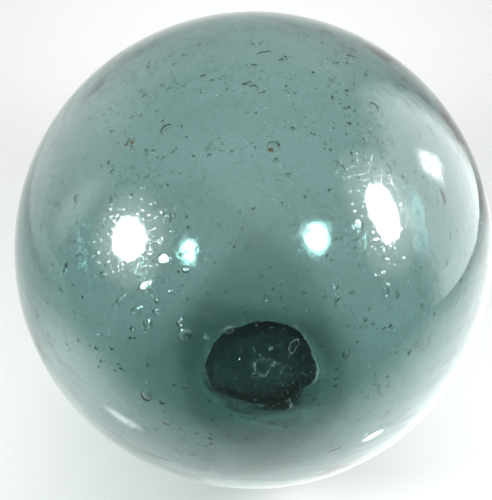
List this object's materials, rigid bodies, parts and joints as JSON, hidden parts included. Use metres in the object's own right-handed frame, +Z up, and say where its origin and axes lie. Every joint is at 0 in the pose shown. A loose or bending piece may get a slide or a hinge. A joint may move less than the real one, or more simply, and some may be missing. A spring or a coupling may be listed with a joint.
{
  "type": "glass float ball",
  "caption": "Hollow blown glass fishing float: a clear sea-green ball full of seed bubbles, closed by a pressed seal button on its underside.",
  "frame": {"origin": "centre of the flat underside of the seal button, where the float stands", "axes": "+Z up through the top of the ball, along its axis of revolution; X and Y are level"},
  "size_m": [0.2998, 0.2998, 0.3017],
  "materials": {
    "ball_glass": "clear sea-green bottle glass, fire-polished, with seed bubbles and faint striae",
    "seal_glass": "thick dark green bottle glass, pressed flat while hot, with tooling streaks and bubbles"
  },
  "bodies": {
    "root": {"glass_ball": "ball_glass", "seal_button": "seal_glass"}
  },
  "joints": []
}
